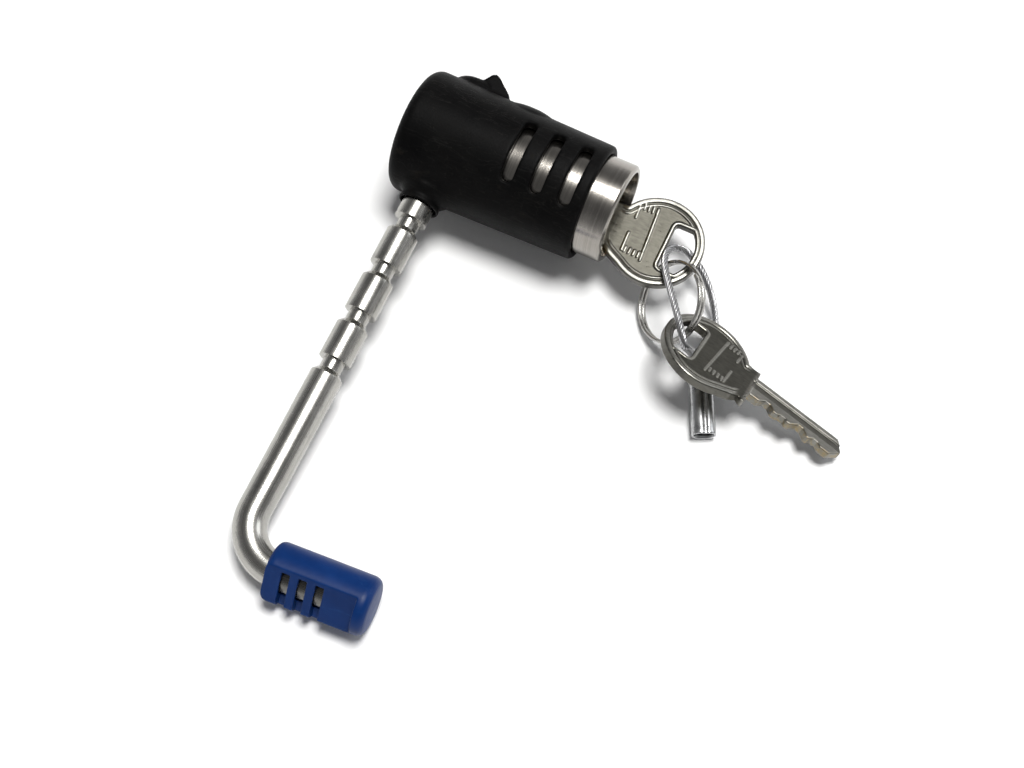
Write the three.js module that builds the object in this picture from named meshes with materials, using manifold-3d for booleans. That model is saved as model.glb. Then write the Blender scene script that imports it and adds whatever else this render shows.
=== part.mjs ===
// Hitch pin lock: a round key lock in a rubber sleeve, slid onto a grooved, bent locking pin,
// with two keys on a split ring and a crimped wire cable loop.
// Millimetres. +X runs along the lock barrel to the keyway, -Y along the pin to its bend, +Z is up.
// The lock lies on a flat surface: the sleeve and the pin's end cap touch it.
import * as THREE from 'three';
import { mergeVertices } from 'three/addons/utils/BufferGeometryUtils.js';
import Module from 'manifold-3d';

const wasm = await Module();
wasm.setup();

// ---------------------------------------------------------------- driving dimensions
const gap = 0.3; // clearance between pieces that meet

// rubber sleeve, measured along the barrel from the pin's axis
const sleeve = { closedX: -8.7, mouthX: 30.1, endRadius: 12.25, mouthRadius: 11.5, round: 2.2 };
const slots = { first: 14.8, pitch: 5.8, count: 3, width: 2.3, centreDeg: 5, halfSpanDeg: 31 };

// steel barrel
const barrel = { radius: 9.8, startX: -5.3, endX: 35.6, bore: 8.6, boreX: 12.2, chamfer: 0.5 };
const retainX = 30.6; // the cylinder's retaining pin

// brass cylinder and plug; the plug's axis is below the barrel's and a little towards the bend
const plug = {
  side: -0.9, drop: 3.4, radius: 4.15, bore: 4.45, backX: 13.5, faceX: 33, tailRadius: 1.9, tailX: 6.3,
};
const chambers = { first: 18.2, pitch: 3.7, count: 4, radius: 1.3 };

// latch bolt, driven along the barrel by a helix of this travel for a quarter turn
const bolt = {
  radius: 4.2, frontX: 5.6, backX: 11.9, stroke: 1.8, tongue: 1.8, slotPin: 0.7, slotPinX: 9.2,
};

// locking pin, measured from the barrel's axis towards the bend
const pin = { radius: 3.175, neck: 2.1, bore: 3.45, tip: -12.5, reach: 88.6, bendRadius: 8.5 };
const grooves = { first: -1.75, pitch: 10.4, count: 6, behind: 1.15, flat: 2.1 };
const bendDeg = 94; // the short leg leans back a little past square
const cap = { radius: 5.55, start: 7.2, end: 27, bore: 3.45, legEnd: 24.4 };
const capFlat = { fromAxis: 3.9, tiltDeg: 46, length: 17.4, slotFirst: 3.9, slotPitch: 3.25, slotWidth: 1.6 };

// keys: a round bow with a D-shaped hole, and a blade with four cuts
const key = { bow: 9.1, thick: 2, toBlade: 10.6, toTip: 30.8, holeX: 2, holeEnd: 7.3, holeHalf: 4.8 };
const shoulder = { back: 4.6, cut: 4.9, joinDeg: 124 };
const blade = { thick: 1.7, back: -2.8, top: 2.5 };
const cutDepths = [1.1, 0.5, 1.4, 0.8];

// split ring and wire cable
const ring = { radius: 7.74, pitch: 0.95, wire: 0.75, thick: 0.9, turns: 1.94 };
const cable = { diameter: 1.4, sides: 8, steps: 44 };
const ferrule = { length: 12.2, halfWide: 2.3, halfTall: 1.7, wall: 0.45 };

// how the loose pieces lie, from the point under the pin's axis on the surface
const ringAt = new THREE.Vector3(51.1, -10, 7.05);
const ringFace = new THREE.Vector3(-0.605, -0.429, 0.671).normalize();
const spareAt = new THREE.Vector3(61.2, -17.8, 8.5);
const spareAlong = new THREE.Vector3(0.9656, -0.1728, -0.1945).normalize();
const spareRollDeg = 30;
const ferruleTop = new THREE.Vector3(61.6, -19.3, 1.95);
const ferruleAlong = new THREE.Vector3(0.44, -0.898, 0).normalize();
const cableRoute = [
  [61.8, -21.4, 1.95], [60.9, -19.6, 1.95], [60.1, -18.2, 2.3], [58.9, -17.3, 3.7], [58.1, -17.3, 5.6],
  [57.6, -17.9, 7.6], [57.1, -18.4, 9.3], [56.1, -17.4, 10.8], [54.2, -14.9, 11.5], [52.1, -12.2, 11.6],
  [50.0, -9.4, 11.4], [48.0, -6.6, 11.1], [46.8, -4.2, 10.7], [46.5, -1.6, 9.6], [47.4, 0.5, 8.0],
  [49.3, 1.2, 6.8], [51.4, 0.5, 6.2], [53.9, -1.1, 5.6], [56.5, -3.4, 4.4], [58.7, -6.0, 2.6],
  [60.2, -8.7, 1.3], [61.1, -11.6, 0.85], [61.8, -14.4, 0.95], [62.2, -16.8, 1.5], [62.4, -18.9, 1.95],
  [63.2, -20.7, 1.95],
];

// the pin slopes from the barrel down to its end cap, which is slimmer than the sleeve
const droop = Math.asin((sleeve.endRadius - cap.radius) / pin.reach);

// places worked out from the dimensions
const sealSize = { from: 7, to: 8.7, inner: pin.radius + 0.25, outer: 4.7 };
const chamberX = (i) => chambers.first + i * chambers.pitch;
const tongueY = grooves.behind - grooves.first - grooves.flat / 2; // the middle of the first groove's flat
const shoulderX = plug.faceX + 0.2; // where the key's shoulder stops
const bowX = shoulderX + key.toBlade;
const tipX = bowX - key.toTip;

// ---------------------------------------------------------------- materials
function paint(color, roughness, metalness) {
  return new THREE.MeshStandardMaterial({ color, roughness, metalness });
}

const materials = {
  rubber: paint(0x1d1d1f, 0.55, 0),
  seal: paint(0x111111, 0.7, 0),
  steel: paint(0xc9c8c4, 0.28, 1),
  pinSteel: paint(0xbdbcb8, 0.32, 1),
  brass: paint(0xb89a55, 0.35, 1),
  nickel: paint(0xa9a59b, 0.35, 1),
  spring: paint(0xd0d0d0, 0.3, 1),
  blue: paint(0x12398a, 0.4, 0),
  cable: paint(0xc2c3c4, 0.35, 1),
  aluminium: paint(0xb9babb, 0.4, 1),
};

// ---------------------------------------------------------------- solids
function solid(geometry) {
  // a closed three.js geometry as a manifold solid, faces turned outwards
  let plain = geometry.clone();
  plain.deleteAttribute('normal');
  plain.deleteAttribute('uv');
  plain = mergeVertices(plain, 1e-4);
  const index = plain.index.array;
  const triVerts = [];
  for (let i = 0; i < index.length; i += 3) {
    const [a, b, c] = [index[i], index[i + 1], index[i + 2]];
    if (a !== b && b !== c && c !== a) triVerts.push(a, b, c);
  }
  const vertProperties = new Float32Array(plain.attributes.position.array);
  const build = (tris) => new wasm.Manifold(
    new wasm.Mesh({ numProp: 3, vertProperties, triVerts: new Uint32Array(tris) }));
  const made = build(triVerts);
  return made.volume() >= 0 ? made : build(triVerts.toReversed());
}

function geometryOf(made) {
  const mesh = made.getMesh();
  const geometry = new THREE.BufferGeometry();
  geometry.setAttribute('position', new THREE.BufferAttribute(new Float32Array(mesh.vertProperties), 3));
  geometry.setIndex(new THREE.BufferAttribute(new Uint32Array(mesh.triVerts), 1));
  const flat = geometry.toNonIndexed();
  flat.computeVertexNormals();
  return flat;
}

const moved = (geometry, x, y, z) => geometry.translate(x, y, z);

function rod(radius, from, to, segments = 32, radiusTo = radius) {
  // a cylinder or cone along +X
  const geometry = new THREE.CylinderGeometry(radiusTo, radius, to - from, segments);
  return moved(geometry.rotateZ(-Math.PI / 2), (from + to) / 2, 0, 0);
}

function box(x0, x1, y0, y1, z0, z1) {
  const geometry = new THREE.BoxGeometry(x1 - x0, y1 - y0, z1 - z0);
  return moved(geometry, (x0 + x1) / 2, (y0 + y1) / 2, (z0 + z1) / 2);
}

function turned(profile, segments) {
  // profile points are [distance along +X, radius]
  const points = profile.map(([along, radius]) => new THREE.Vector2(radius, along));
  return new THREE.LatheGeometry(points, segments).rotateZ(-Math.PI / 2);
}

const alongPin = (geometry) => geometry.rotateZ(-Math.PI / 2); // +X to -Y
const alongFar = (geometry) => geometry.rotateZ(Math.PI / 2); // +X to +Y
const alongUp = (geometry) => geometry.rotateY(-Math.PI / 2); // +X to +Z

function prism(shape, from, to, curveSegments = 12) {
  // an outline in XY, thick from one height to the other
  const geometry = new THREE.ExtrudeGeometry(shape, { depth: to - from, bevelEnabled: false, curveSegments });
  return moved(geometry, 0, 0, from);
}

function sweep(path, section, steps) {
  return new THREE.ExtrudeGeometry(section, { steps, extrudePath: path, bevelEnabled: false });
}

function polygon(count, radiusA, radiusB = radiusA) {
  const shape = new THREE.Shape();
  for (let i = 0; i < count; i += 1) {
    const angle = (2 * Math.PI * (i + 0.5)) / count;
    const [x, y] = [radiusA * Math.cos(angle), radiusB * Math.sin(angle)];
    if (i === 0) shape.moveTo(x, y);
    else shape.lineTo(x, y);
  }
  shape.closePath();
  return shape;
}

function addMesh(parent, name, shape, material) {
  const geometry = shape.isBufferGeometry ? shape : geometryOf(shape);
  const mesh = new THREE.Mesh(geometry, material);
  mesh.name = name;
  parent.add(mesh);
  return mesh;
}

// ---------------------------------------------------------------- the lock's head
function rubberSleeve() {
  const inner = barrel.radius + gap;
  const corner = Array.from({ length: 5 }, (_, i) => {
    const angle = (i / 4) * (Math.PI / 2);
    return [
      sleeve.closedX + 0.5 + sleeve.round * (1 - Math.sin(angle)),
      sleeve.endRadius - sleeve.round * (1 - Math.cos(angle)),
    ];
  }).reverse();
  const outline = [
    [sleeve.closedX, 0],
    [sleeve.closedX + 0.15, 0.5 * sleeve.endRadius],
    ...corner,
    [sleeve.mouthX - 0.5, sleeve.mouthRadius],
    [sleeve.mouthX, sleeve.mouthRadius - 0.4],
    [sleeve.mouthX, inner],
    [barrel.startX - gap, inner],
    [barrel.startX - gap, 0],
  ];
  let body = solid(turned(outline, 44));
  const wallRadius = inner + 0.6;
  // the near boss: a volcano-shaped lip that the pin runs into
  const nearLip = [[wallRadius, 0], [wallRadius, 5.4], [11.9, 5.2], [12.7, 4.4], [13.4, 3.95], [14.1, 4.15],
    [14.6, 3.9], [14.6, 0]];
  body = body.add(solid(alongPin(turned(nearLip, 28))));
  body = body.add(farBoss(wallRadius));
  body = body.add(blankPad());
  body = body.subtract(solid(alongFar(rod(pin.bore + 0.1, -20, 20, 28))));
  for (let i = 0; i < slots.count; i += 1) body = body.subtract(sleeveSlot(slots.first + i * slots.pitch));
  return body;
}

function farBoss(wallRadius) {
  // the pin's far mouth: a round collar with a peak rising from its key side
  const collar = [[wallRadius, 0], [wallRadius, 5.6], [11.8, 5.4], [12.6, 4.9], [13, 4.3], [13.1, 3.7],
    [13.1, 0]];
  const peak = new THREE.Shape();
  peak.moveTo(0.7, wallRadius);
  peak.lineTo(6.8, wallRadius);
  peak.lineTo(6.8, 12);
  peak.lineTo(3.8, 14.5);
  peak.quadraticCurveTo(2.6, 15.6, 1.8, 14.7);
  peak.lineTo(0.7, 13);
  peak.closePath();
  return solid(alongFar(turned(collar, 28))).add(solid(prism(peak, -4.4, 4.4, 5)));
}

function blankPad() {
  // a low oval pad on the sleeve's far, upper side
  const pad = new THREE.SphereGeometry(1, 20, 10).scale(5, 3, 1.25);
  const holder = new THREE.Matrix4().makeRotationX(THREE.MathUtils.degToRad(-62));
  holder.multiply(new THREE.Matrix4().makeTranslation(12.2, 0, sleeve.endRadius - 1.15));
  return solid(pad.applyMatrix4(holder));
}

function sleeveSlot(x) {
  // a round-ended slot that runs part of the way round the sleeve
  const radius = sleeve.endRadius + 1;
  const floor = barrel.radius + gap - 0.1;
  const sector = new THREE.Shape();
  const half = THREE.MathUtils.degToRad(slots.halfSpanDeg) - slots.width / 2 / sleeve.endRadius;
  sector.absarc(0, 0, radius, -half, half, false);
  sector.absarc(0, 0, floor, half, -half, true);
  sector.closePath();
  // the sector lies in XY with its middle on +X: stand it up about the barrel's axis
  let cut = solid(prism(sector, -slots.width / 2, slots.width / 2, 10).rotateY(-Math.PI / 2));
  for (const side of [-1, 1]) {
    const end = rod(slots.width / 2, floor, radius, 12).rotateZ(side * half);
    cut = cut.add(solid(end.rotateY(-Math.PI / 2)));
  }
  return cut.rotate([slots.centreDeg, 0, 0]).translate([x, 0, 0]);
}

function lockBody() {
  const { radius, startX, endX, bore, boreX, chamfer } = barrel;
  const outline = [[startX, 0], [startX, radius - 0.8], [startX + 0.8, radius], [endX - chamfer, radius],
    [endX, radius - chamfer], [endX, bore], [boreX, bore], [boreX, 0]];
  let body = solid(turned(outline, 44));
  body = body.subtract(solid(alongFar(rod(pin.bore, -20, 20, 28))));
  // room for the latch bolt, and the slot its tongue slides in
  const boltRoom = rod(bolt.radius + gap, bolt.frontX - bolt.stroke - gap, boreX + 1, 28);
  body = body.subtract(solid(moved(boltRoom, 0, plug.side, -plug.drop)));
  const wide = bolt.tongue / 2 + gap;
  body = body.subtract(solid(box(0, bolt.frontX + 0.7, tongueY - wide, tongueY + wide, -4.8, 3.3)));
  // counterbores for the two wiper seals
  for (const side of [-1, 1]) {
    const seat = side < 0 ? alongPin : alongFar;
    body = body.subtract(solid(seat(rod(sealSize.outer + gap, sealSize.from - gap, radius + 1, 28))));
  }
  // blind hole for the cylinder's retaining pin
  body = body.subtract(solid(moved(alongUp(rod(1.25, -11, -7, 16)), retainX, 0, 0)));
  return body;
}

function wiperSeal() {
  const { from, to, inner, outer } = sealSize;
  const middle = (from + to) / 2;
  const outline = [[from, inner + 0.4], [from, outer - 0.3], [from + 0.3, outer], [to - 0.3, outer],
    [to, outer - 0.3], [to, inner + 0.4], [middle, inner], [from, inner + 0.4]];
  return turned(outline, 28);
}

function cylinderShell() {
  const radius = barrel.bore - gap;
  let shell = solid(rod(radius, plug.backX, plug.faceX, 36));
  shell = shell.subtract(solid(moved(rod(plug.bore, 0, 40, 32), 0, plug.side, -plug.drop)));
  for (let i = 0; i < chambers.count; i += 1) {
    const hole = alongUp(rod(chambers.radius, -plug.drop, 12, 12));
    shell = shell.subtract(solid(moved(hole, chamberX(i), plug.side, 0)));
  }
  return shell.subtract(solid(moved(alongUp(rod(1.25, -12, -7.3, 16)), retainX, 0, 0)));
}

function plugSolid() {
  // built about its own axis; turned to the open position the key pins point to -Y
  const journal = plug.tailRadius + 0.9;
  const outline = [[plug.tailX, 0], [plug.tailX, plug.tailRadius], [12.1, plug.tailRadius], [12.1, journal],
    [12.4, journal], [12.4, journal - 0.5], [13.2, journal - 0.5], [13.2, plug.radius],
    [plug.faceX - 0.3, plug.radius], [plug.faceX, plug.radius - 0.3], [plug.faceX, 0]];
  let body = solid(turned(outline, 32));
  const half = blade.thick / 2 + gap;
  body = body.subtract(solid(box(tipX - 0.6, 40, -blade.top - gap, gap - blade.back, -half, half)));
  for (let i = 0; i < chambers.count; i += 1) {
    const hole = alongPin(rod(chambers.radius, 1, 6, 12));
    body = body.subtract(solid(moved(hole, chamberX(i), 0, 0)));
  }
  const crossHole = alongUp(rod(bolt.slotPin + 0.05, 0, 3, 12));
  return body.subtract(solid(moved(crossHole, bolt.slotPinX, 0, 0)));
}

function latchBolt() {
  // a sleeve round the plug's tail, with a tongue that enters a groove of the pin; drawn back at rest
  const outline = [[bolt.frontX, 0], [bolt.frontX, bolt.radius - 0.3], [bolt.frontX + 0.3, bolt.radius],
    [bolt.backX, bolt.radius], [bolt.backX, plug.tailRadius + gap],
    [bolt.frontX + 0.4, plug.tailRadius + gap], [bolt.frontX + 0.4, 0]];
  let body = solid(turned(outline, 28));
  const tipAtRest = 1.2 + bolt.stroke;
  const [y0, y1] = [tongueY - plug.side - bolt.tongue / 2, tongueY - plug.side + bolt.tongue / 2];
  const tongue = box(tipAtRest, bolt.frontX + 0.35, y0, y1, 0.2, 6.3);
  const heel = box(bolt.frontX - 1.6, bolt.frontX + 0.35, y0, y1, -1, 0.4);
  body = body.add(solid(tongue)).add(solid(heel));
  const saddle = moved(alongFar(rod(pin.neck + 0.25, -6, 6, 24)), bolt.stroke, 0, plug.drop);
  body = body.subtract(solid(saddle));
  // helical slot: the drive pin turns a quarter while the bolt moves its stroke
  const steps = 9;
  for (let i = 0; i <= steps; i += 1) {
    const share = i / steps;
    const hole = alongUp(rod(bolt.slotPin + 0.2, 0.5, 6, 12));
    const cut = solid(moved(hole, bolt.slotPinX + share * bolt.stroke, 0, 0));
    body = body.subtract(cut.rotate([-share * 90, 0, 0]));
  }
  return body;
}

function plugClip() {
  // open C-clip in the groove behind the plug
  const [inner, outer, mouth] = [plug.tailRadius + 0.7, 4.6, 0.55];
  const shape = new THREE.Shape();
  shape.absarc(0, 0, outer, mouth, 2 * Math.PI - mouth, false);
  shape.absarc(0, 0, inner, 2 * Math.PI - mouth, mouth, true);
  shape.closePath();
  return prism(shape, 12.5, 13.1, 14).rotateZ(Math.PI / 2).rotateY(Math.PI / 2);
}

function helixSpring(fromZ, toZ, radius, wire, turns) {
  class Coil extends THREE.Curve {
    getPoint(t, target = new THREE.Vector3()) {
      const angle = 2 * Math.PI * turns * t;
      const z = fromZ + wire + (toZ - fromZ - 2 * wire) * t;
      return target.set(radius * Math.cos(angle), radius * Math.sin(angle), z);
    }
  }
  return sweep(new Coil(), polygon(5, wire), Math.round(turns * 9));
}

function buildHead(parent) {
  addMesh(parent, 'rubber_sleeve', rubberSleeve(), materials.rubber);
  addMesh(parent, 'lock_body', lockBody(), materials.steel);
  addMesh(parent, 'cylinder_shell', cylinderShell(), materials.brass);
  addMesh(parent, 'near_seal', alongPin(wiperSeal()), materials.seal);
  addMesh(parent, 'far_seal', alongFar(wiperSeal()), materials.seal);
  const retainer = moved(alongUp(rod(0.95, -barrel.radius + 0.2, -7.6, 14)), retainX, 0, 0);
  addMesh(parent, 'cylinder_retaining_pin', retainer, materials.steel);
  const shear = plug.bore - plug.drop;
  for (let i = 0; i < chambers.count; i += 1) {
    const driver = alongUp(rod(chambers.radius - 0.2, shear + 0.35, shear + 2.9, 12));
    addMesh(parent, `driver_pin_${i + 1}`, moved(driver, chamberX(i), plug.side, 0), materials.brass);
    const coil = helixSpring(shear + 3, barrel.bore - 0.35, 0.72, 0.2, 4);
    addMesh(parent, `driver_spring_${i + 1}`, moved(coil, chamberX(i), plug.side, 0), materials.spring);
  }

  const plugAxis = new THREE.Group();
  plugAxis.position.set(0, plug.side, -plug.drop);
  parent.add(plugAxis);
  addMesh(plugAxis, 'cylinder_plug', plugSolid(), materials.brass);
  addMesh(plugAxis, 'plug_clip', plugClip(), materials.steel);
  addMesh(plugAxis, 'latch_bolt', latchBolt(), materials.steel);
  const drive = moved(alongUp(rod(bolt.slotPin, 0.4, bolt.radius - 0.25, 12)), bolt.slotPinX, 0, 0);
  addMesh(plugAxis, 'drive_pin', drive, materials.steel);
  for (let i = 0; i < chambers.count; i += 1) {
    const keyPin = alongPin(rod(chambers.radius - 0.2, blade.top + gap, plug.radius - 0.15, 12));
    addMesh(plugAxis, `key_pin_${i + 1}`, moved(keyPin, chamberX(i), 0, 0), materials.brass);
  }
  const key1 = addMesh(plugAxis, 'lock_key', keySolid(), materials.nickel);
  key1.rotation.x = Math.PI;
  key1.position.x = bowX;
}

// ---------------------------------------------------------------- the locking pin and its end cap
function lockingPin() {
  const bendStart = pin.reach - pin.bendRadius;
  const outline = [[pin.tip, 0], [pin.tip, pin.radius - 1], [pin.tip + 1, pin.radius]];
  for (let i = 0; i < grooves.count; i += 1) {
    const middle = grooves.first + i * grooves.pitch;
    const shoulder = middle - grooves.behind;
    const flatEnd = shoulder + grooves.flat;
    outline.push([shoulder, pin.radius], [shoulder, pin.neck], [flatEnd, pin.neck],
      [flatEnd + pin.radius - pin.neck, pin.radius]);
  }
  outline.push([bendStart - 2, pin.radius], [bendStart - 2, 0]);
  const straight = solid(alongPin(turned(outline, 26)));

  // the bend and the short leg, as one swept bar
  const bend = THREE.MathUtils.degToRad(bendDeg);
  const centre = new THREE.Vector3(pin.bendRadius, -bendStart, 0);
  const arcPoint = (angle) => new THREE.Vector3(
    centre.x - pin.bendRadius * Math.cos(angle), centre.y - pin.bendRadius * Math.sin(angle), 0);
  const bar = [new THREE.Vector3(0, 3 - bendStart, 0), new THREE.Vector3(0, 0.5 - bendStart, 0)];
  const bends = 8;
  for (let i = 0; i <= bends; i += 1) bar.push(arcPoint((i / bends) * bend));
  const leg = new THREE.Vector3(Math.sin(bend), -Math.cos(bend), 0);
  const legLength = cap.legEnd - pin.bendRadius;
  bar.push(arcPoint(bend).addScaledVector(leg, 0.5), arcPoint(bend).addScaledVector(leg, legLength));
  return { straight, bar, leg, legStart: arcPoint(bend) };
}

function barSolid(bar, radius, sides) {
  // rings of points square to a bar that bends in the XY plane
  const positions = [];
  const index = [];
  bar.forEach((point, i) => {
    const before = bar[Math.max(i - 1, 0)];
    const after = bar[Math.min(i + 1, bar.length - 1)];
    const along = after.clone().sub(before).normalize();
    const across = new THREE.Vector3(-along.y, along.x, 0);
    for (let k = 0; k < sides; k += 1) {
      const angle = (2 * Math.PI * k) / sides;
      positions.push(point.x + radius * Math.cos(angle) * across.x,
        point.y + radius * Math.cos(angle) * across.y, point.z + radius * Math.sin(angle));
    }
  });
  for (let i = 0; i + 1 < bar.length; i += 1) {
    for (let k = 0; k < sides; k += 1) {
      const [a, b] = [i * sides + k, i * sides + ((k + 1) % sides)];
      index.push(a, b, b + sides, a, b + sides, a + sides);
    }
  }
  const last = (bar.length - 1) * sides;
  for (let k = 1; k + 1 < sides; k += 1) index.push(0, k + 1, k, last, last + k, last + k + 1);
  const geometry = new THREE.BufferGeometry();
  geometry.setAttribute('position', new THREE.Float32BufferAttribute(positions, 3));
  geometry.setIndex(index);
  return geometry;
}

function endCap() {
  // along +X from the bend; a flat on the upper, outer side has three slots that show the leg inside
  const { radius, start, end, bore, legEnd } = cap;
  const outline = [[start, bore], [start, radius - 1.2], [start + 0.35, radius - 0.35], [start + 1.2, radius],
    [end - 1.6, radius], [end - 0.5, radius - 0.45], [end, radius - 1.5], [end + 0.15, 0], [legEnd + gap, 0],
    [legEnd + gap, bore], [start, bore]];
  let body = solid(turned(outline, 36));
  // cuts are made with the flat facing +Z, then turned to its real side
  const turn = capFlat.tiltDeg;
  const flat = solid(box(start - 1, start + capFlat.length, -9, 9, capFlat.fromAxis, 9));
  body = body.subtract(flat.rotate([turn, 0, 0]));
  for (let i = 0; i < 3; i += 1) {
    const x = start + capFlat.slotFirst + i * capFlat.slotPitch;
    const slot = solid(box(x - capFlat.slotWidth / 2, x + capFlat.slotWidth / 2, -8, 3.05, 1.6, 8));
    body = body.subtract(slot.rotate([turn, 0, 0]));
  }
  return body;
}

function buildPin(parent) {
  const { straight, bar, leg, legStart } = lockingPin();
  addMesh(parent, 'locking_pin', straight.add(solid(barSolid(bar, pin.radius, 26))), materials.pinSteel);
  const capMesh = addMesh(parent, 'pin_end_cap', endCap(), materials.blue);
  capMesh.position.copy(legStart).addScaledVector(leg, -pin.bendRadius);
  capMesh.rotation.z = Math.atan2(leg.y, leg.x);
}

// ---------------------------------------------------------------- keys, split ring and cable
function keySolid() {
  // bow centre at the origin, blade along -X, cuts on +Y, faces on +Z and -Z
  const outline = new THREE.Shape();
  outline.absarc(0, 0, key.bow, Math.asin(shoulder.back / key.bow) - Math.PI,
    THREE.MathUtils.degToRad(shoulder.joinDeg), false);
  outline.lineTo(-key.toBlade, shoulder.cut);
  outline.lineTo(-key.toBlade, -shoulder.back);
  outline.closePath();
  const hole = new THREE.Path();
  const half = Math.asin(key.holeHalf / key.holeEnd);
  hole.absarc(0, 0, key.holeEnd, half, -half, true);
  hole.lineTo(key.holeX, -key.holeHalf);
  hole.lineTo(key.holeX, key.holeHalf);
  hole.closePath();
  outline.holes.push(hole);
  const bow = solid(prism(outline, -key.thick / 2, key.thick / 2, 16));

  const edge = new THREE.Shape();
  edge.moveTo(-key.toBlade + 0.5, blade.back);
  edge.lineTo(-key.toBlade + 0.5, blade.top);
  cutDepths.forEach((depth, i) => {
    const x = chamberX(cutDepths.length - 1 - i) - bowX;
    edge.lineTo(x + 0.5 + depth, blade.top);
    edge.lineTo(x + 0.5, blade.top - depth);
    edge.lineTo(x - 0.5, blade.top - depth);
    edge.lineTo(x - 0.5 - depth, blade.top);
  });
  edge.lineTo(-key.toTip + 1.9, blade.top);
  edge.lineTo(-key.toTip, 0.3);
  edge.lineTo(-key.toTip, -0.6);
  edge.lineTo(-key.toTip + 1.6, blade.back);
  edge.closePath();
  return bow.add(solid(prism(edge, -blade.thick / 2, blade.thick / 2)));
}

function splitRing() {
  // two flat turns side by side
  class Turns extends THREE.Curve {
    getPoint(t, target = new THREE.Vector3()) {
      const angle = 2 * Math.PI * ring.turns * t + 2.2;
      const shift = ring.pitch * (t * ring.turns - ring.turns / 2);
      return target.set(ring.radius * Math.cos(angle), ring.radius * Math.sin(angle), shift);
    }
  }
  return sweep(new Turns(), polygon(6, ring.wire / 2, ring.thick / 2), 52);
}

function buildLoosePieces(parent) {
  const ringMesh = addMesh(parent, 'split_ring', splitRing(), materials.steel);
  const ringX = new THREE.Vector3(-ringFace.y, ringFace.x, 0).normalize();
  const ringY = new THREE.Vector3().crossVectors(ringFace, ringX);
  ringMesh.applyMatrix4(new THREE.Matrix4().makeBasis(ringX, ringY, ringFace));
  ringMesh.position.copy(ringAt);

  const spare = addMesh(parent, 'spare_key', keySolid(), materials.nickel);
  const level = new THREE.Vector3(-spareAlong.y, spareAlong.x, 0).normalize();
  const lift = new THREE.Vector3().crossVectors(spareAlong, level);
  const roll = THREE.MathUtils.degToRad(spareRollDeg);
  const across = level.multiplyScalar(Math.cos(roll)).addScaledVector(lift, -Math.sin(roll)).normalize();
  const face = new THREE.Vector3().crossVectors(spareAlong, across);
  spare.applyMatrix4(new THREE.Matrix4().makeBasis(spareAlong.clone().negate(), across.negate(), face));
  spare.position.copy(spareAt);

  const points = cableRoute.map((p) => new THREE.Vector3(...p));
  const route = new THREE.CatmullRomCurve3(points, false, 'centripetal');
  const strand = sweep(route, polygon(cable.sides, cable.diameter / 2), cable.steps);
  addMesh(parent, 'wire_cable', strand, materials.cable);

  const tube = solid(new THREE.ExtrudeGeometry(polygon(18, ferrule.halfWide, ferrule.halfTall),
    { depth: ferrule.length, bevelEnabled: false, steps: 1 }));
  const bore = solid(new THREE.ExtrudeGeometry(
    polygon(18, ferrule.halfWide - ferrule.wall, ferrule.halfTall - ferrule.wall),
    { depth: ferrule.length + 2, bevelEnabled: false, steps: 1 }).translate(0, 0, -1));
  const ferruleMesh = addMesh(parent, 'cable_ferrule', tube.subtract(bore), materials.aluminium);
  const up = new THREE.Vector3(0, 0, 1);
  const side = new THREE.Vector3().crossVectors(up, ferruleAlong);
  ferruleMesh.applyMatrix4(new THREE.Matrix4().makeBasis(side, up, ferruleAlong));
  ferruleMesh.position.copy(ferruleTop);
}

// ---------------------------------------------------------------- the whole object
const rolled = new THREE.Group();
rolled.rotation.x = droop;
rolled.position.z = sleeve.endRadius;
buildHead(rolled);
buildPin(rolled);

const loose = new THREE.Group();
buildLoosePieces(loose);

// the origin is the middle of the object's footprint, on the surface it lies on
const placed = new THREE.Group();
placed.add(rolled, loose);
placed.updateMatrixWorld(true);
const footprint = new THREE.Box3();
placed.traverse((node) => {
  const loops = ['wire_cable', 'cable_ferrule'].includes(node.name);
  if (node.isMesh && !loops) footprint.expandByObject(node, true);
});
const middle = footprint.getCenter(new THREE.Vector3());
placed.position.set(-middle.x, -middle.y, -footprint.min.z);

const group = new THREE.Group();
group.add(placed);
export default group;
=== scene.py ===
import math
from types import SimpleNamespace as Sizes

import bmesh
import bpy
import numpy as np
from mathutils import Matrix, Vector


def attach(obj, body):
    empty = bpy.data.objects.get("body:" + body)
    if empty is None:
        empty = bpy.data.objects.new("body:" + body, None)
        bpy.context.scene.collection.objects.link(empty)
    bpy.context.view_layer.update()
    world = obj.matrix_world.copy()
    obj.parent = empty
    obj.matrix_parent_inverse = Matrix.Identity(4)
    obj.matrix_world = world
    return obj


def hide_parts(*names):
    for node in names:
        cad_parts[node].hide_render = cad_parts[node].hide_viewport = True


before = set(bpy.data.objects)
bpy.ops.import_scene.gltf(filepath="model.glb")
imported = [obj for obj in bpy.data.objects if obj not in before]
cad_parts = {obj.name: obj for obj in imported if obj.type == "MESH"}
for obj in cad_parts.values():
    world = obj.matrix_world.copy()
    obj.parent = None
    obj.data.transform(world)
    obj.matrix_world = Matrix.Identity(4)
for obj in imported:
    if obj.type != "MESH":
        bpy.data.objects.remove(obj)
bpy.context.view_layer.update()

# ---------------------------------------------------------------- spaces
# Shapes are written in millimetres and scaled to metres when they are placed. The head's space has
# its origin where the lock's axis meets the pin's: +X runs along the lock to its key, and the pin runs
# along -Y. It leans by DROOP, because the sleeve is thicker than the end cap and both rest on the table.
MM = 0.001
SHIFT = (-41.24464, 39.22196, -0.01693)  # how far part.mjs moves the whole object to centre it
SLEEVE_RADIUS = 12.25
CAP_RADIUS = 5.55
PIN_REACH = 88.6
DROOP = math.asin((SLEEVE_RADIUS - CAP_RADIUS) / PIN_REACH)
LOOSE = Matrix.Scale(MM, 4) @ Matrix.Translation(SHIFT)
HEAD = LOOSE @ Matrix.Translation((0, 0, SLEEVE_RADIUS)) @ Matrix.Rotation(DROOP, 4, "X")

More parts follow.
